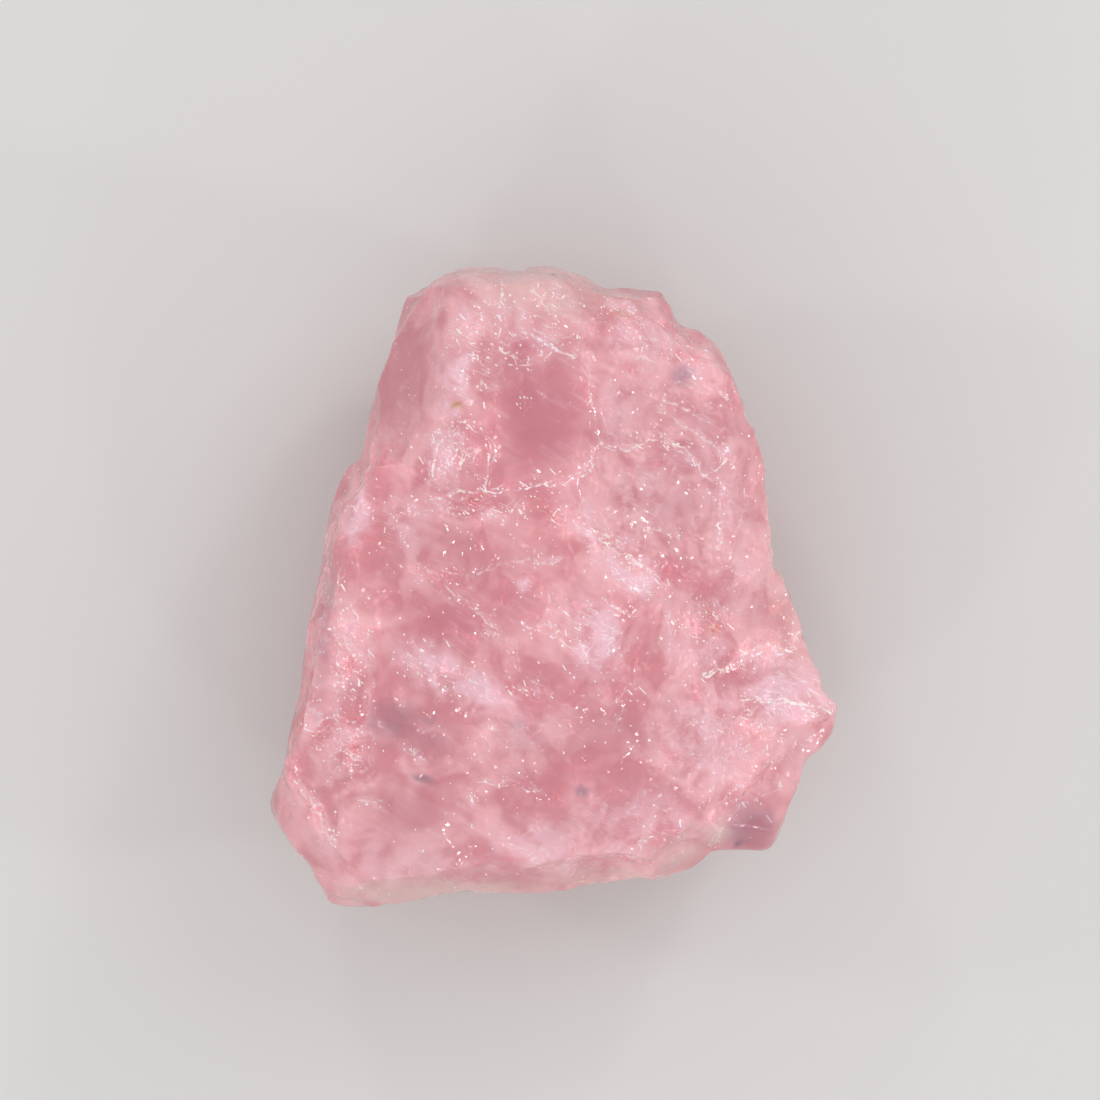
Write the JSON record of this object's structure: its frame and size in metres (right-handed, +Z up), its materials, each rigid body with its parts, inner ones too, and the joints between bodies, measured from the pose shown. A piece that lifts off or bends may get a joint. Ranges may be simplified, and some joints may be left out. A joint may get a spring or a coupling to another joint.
{
  "type": "rough gemstone",
  "caption": "Rough chunk of pink morganite beryl: a tapering broken block with flat and shell-shaped breaks, a notched outline and one flat face to lie on.",
  "frame": {"origin": "middle of the bounding box seen from above, on the flat break that the stone lies on", "axes": "+Z up, away from the resting face and out of the face that shows; +Y towards the narrow end; +X towards the side with the nose"},
  "size_m": [0.0246, 0.0279, 0.0148],
  "materials": {
    "pink_beryl": "rough broken beryl, glassy lustre, cloudy and see-through at its thin edges"
  },
  "bodies": {
    "root": {"morganite": "pink_beryl"}
  },
  "joints": []
}
